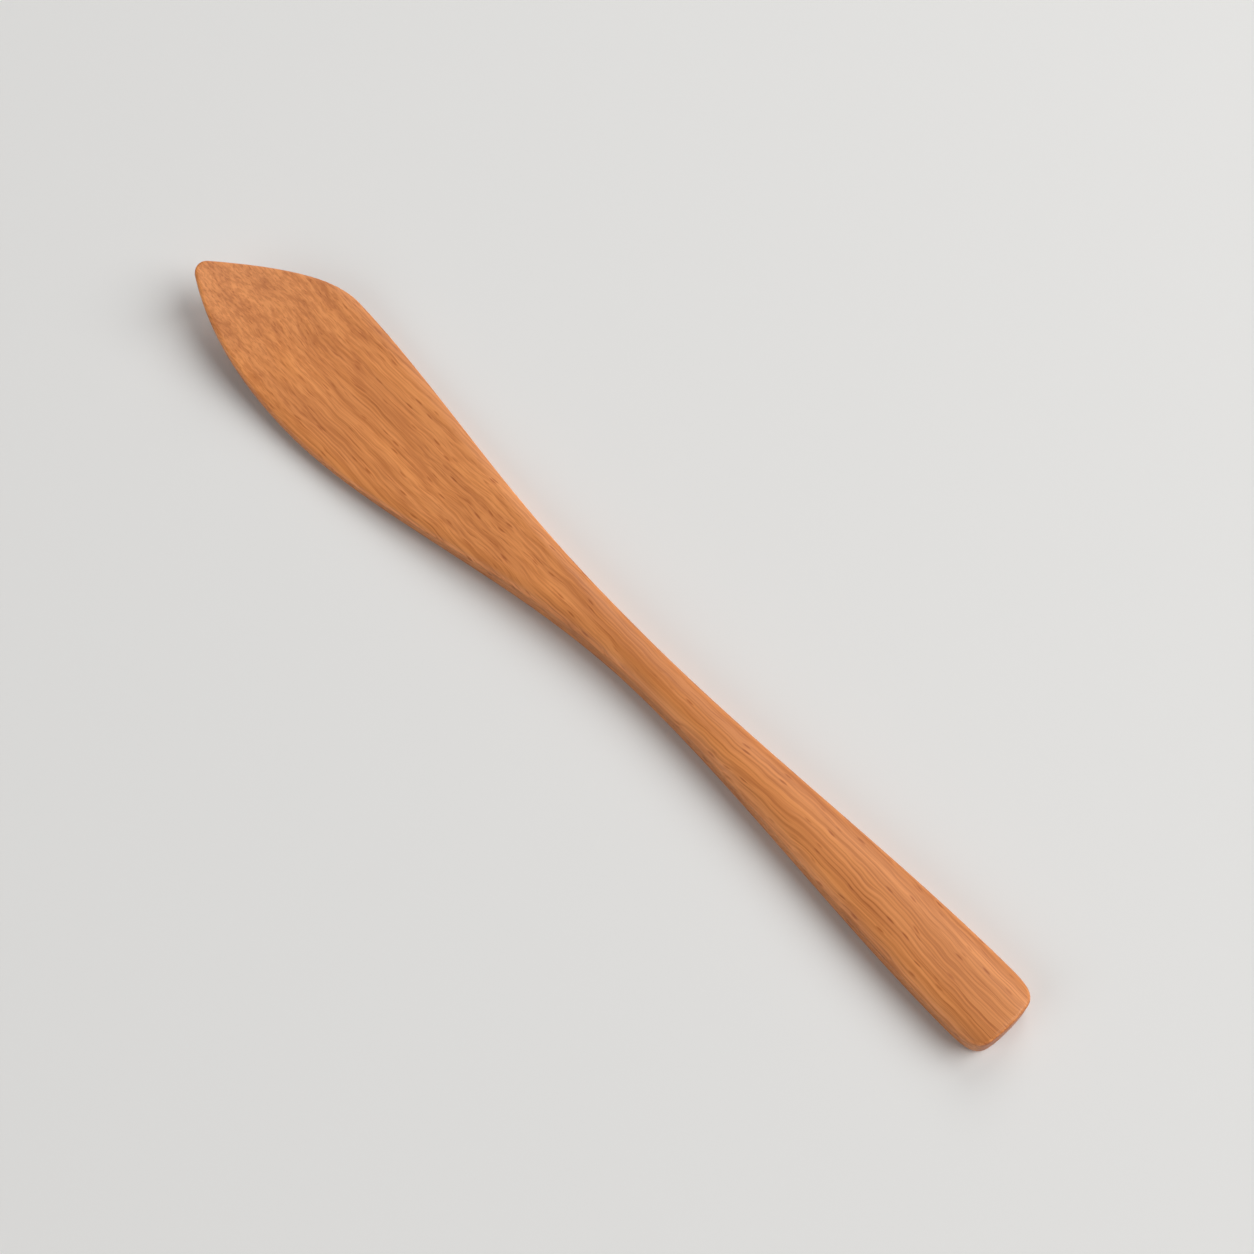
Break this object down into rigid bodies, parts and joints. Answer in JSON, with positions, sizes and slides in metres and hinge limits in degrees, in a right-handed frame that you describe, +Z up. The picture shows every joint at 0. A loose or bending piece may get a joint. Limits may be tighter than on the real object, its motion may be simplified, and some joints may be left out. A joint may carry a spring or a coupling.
{
  "type": "butter spreader",
  "caption": "Wooden butter spreader: broad thin blade with a curved spreading edge and a raised pointed tip, slim neck, and a handle that flares to a rounded end.",
  "frame": {"origin": "on the surface that the spreader rests on, under the middle of its bounding box", "axes": "+X along the handle towards the tip of the blade, +Y towards the curved spreading edge, +Z up out of the crowned top face"},
  "size_m": [0.18, 0.024, 0.0098],
  "materials": {
    "beech": "sanded and oiled, satin"
  },
  "bodies": {
    "root": {"spreader": "beech"}
  },
  "joints": []
}
